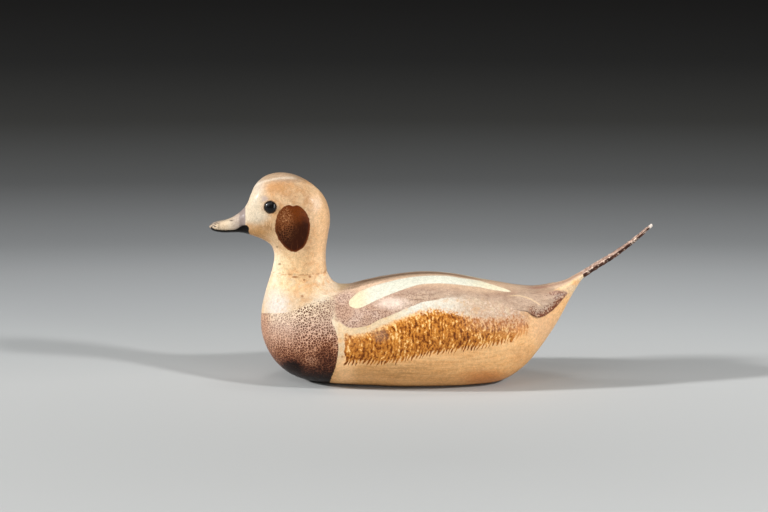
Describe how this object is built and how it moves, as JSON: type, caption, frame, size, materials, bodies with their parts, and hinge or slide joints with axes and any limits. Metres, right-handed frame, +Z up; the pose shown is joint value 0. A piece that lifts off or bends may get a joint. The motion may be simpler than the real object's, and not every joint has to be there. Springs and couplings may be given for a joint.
{
  "type": "miniature duck decoy",
  "caption": "Miniature long-tailed duck decoy, carved and painted wood, with a flat underside, upright head, bead eyes and a long thin tail feather that rises behind.",
  "frame": {"origin": "on the flat underside, in the decoy's plane of symmetry, half way between the tip of the bill and the tip of the tail feather", "axes": "+Z up, the duck faces -X, its left side looks along -Y"},
  "size_m": [0.16, 0.046, 0.0763],
  "materials": {
    "body_paint": "aged oil paint under semi-gloss varnish: tan sides, brown breast and back, golden flanks",
    "head_paint": "aged cream oil paint under semi-gloss varnish, dark red-brown cheek patch, grey and cream bill with a black edge",
    "eye_glass": "opaque black, glossy",
    "feather_paint": "dark brown paint, worn and flaked along its upper edge"
  },
  "bodies": {
    "root": {"body": "body_paint", "head": "head_paint", "eye_left": "eye_glass", "eye_right": "eye_glass", "tail_feather": "feather_paint"}
  },
  "joints": []
}
